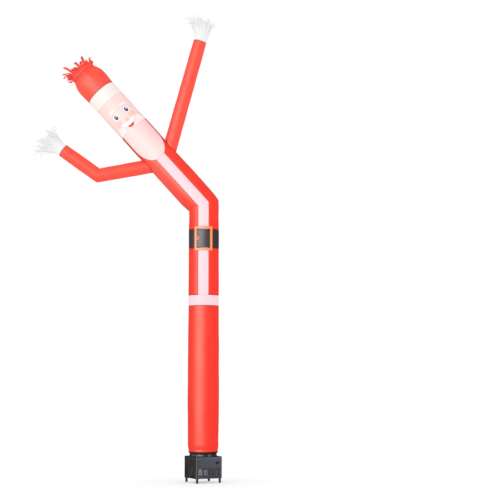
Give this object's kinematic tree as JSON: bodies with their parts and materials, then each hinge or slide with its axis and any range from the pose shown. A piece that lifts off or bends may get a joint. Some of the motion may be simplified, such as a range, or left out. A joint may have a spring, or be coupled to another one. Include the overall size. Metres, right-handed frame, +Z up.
{
  "type": "inflatable air dancer with blower",
  "caption": "Tall inflated nylon tube figure with a bearded face, a hat and fringed arms, bent at the waist, standing on a small box blower with feet.",
  "frame": {"origin": "centre of the blower housing's flat underside, 34 mm above the surface that the feet stand on", "axes": "+Z up along the leg tube, -Y the way the face looks, -X the way the upper body leans"},
  "size_m": [1.4659, 0.2849, 3.615],
  "materials": {
    "red_nylon": "satin",
    "white_nylon": "satin",
    "skin_nylon": "satin",
    "black_nylon": "satin",
    "gold_nylon": "satin",
    "strand_white": "satin",
    "housing_black": "fine texture",
    "duct_black": "semi-gloss",
    "switch_black": "semi-gloss",
    "foot_rubber": "matte",
    "motor_steel": "satin",
    "guard_wire": "satin",
    "fan_grey": "matte",
    "lamp_silver": "plated",
    "lens_white": "gloss"
  },
  "bodies": {
    "dancer": {"leg": "red_nylon", "hem_band": "white_nylon", "coat_skirt": "red_nylon", "skirt_stripe": "white_nylon", "belt": "black_nylon", "buckle": "gold_nylon", "coat_waist": "red_nylon", "coat_lean": "red_nylon", "coat": "red_nylon", "coat_stripe": "white_nylon", "beard": "white_nylon", "face": "skin_nylon", "hat_band": "white_nylon", "hat": "red_nylon", "hat_fringe": "red_nylon", "sleeve_raised": "red_nylon", "forearm_raised": "red_nylon", "sleeve_bent": "red_nylon", "forearm_bent": "red_nylon", "hand_raised": "strand_white", "hand_bent": "strand_white", "housing_front": "housing_black", "housing_back": "housing_black", "base_plate": "housing_black", "foot_1": "foot_rubber", "foot_2": "foot_rubber", "foot_3": "foot_rubber", "foot_4": "foot_rubber", "duct": "duct_black", "guard": "guard_wire", "lamp": "lamp_silver", "lamp_lens": "lens_white", "motor": "motor_steel", "switch_bezel": "switch_black", "cord_inlet": "foot_rubber"},
    "rocker": {"rocker": "switch_black"},
    "fan": {"fan": "fan_grey"}
  },
  "joints": [
    {"name": "rocker_tilt", "type": "hinge", "parent": "dancer", "child": "rocker", "pos_m": [0.10937, -0.06458, 0.116], "axis": [0, 0, 1], "range_deg": [0, 24]},
    {"name": "fan_spin", "type": "hinge", "parent": "dancer", "child": "fan", "pos_m": [0, 0, 0.113], "axis": [0, 0, 1], "continuous": true}
  ]
}
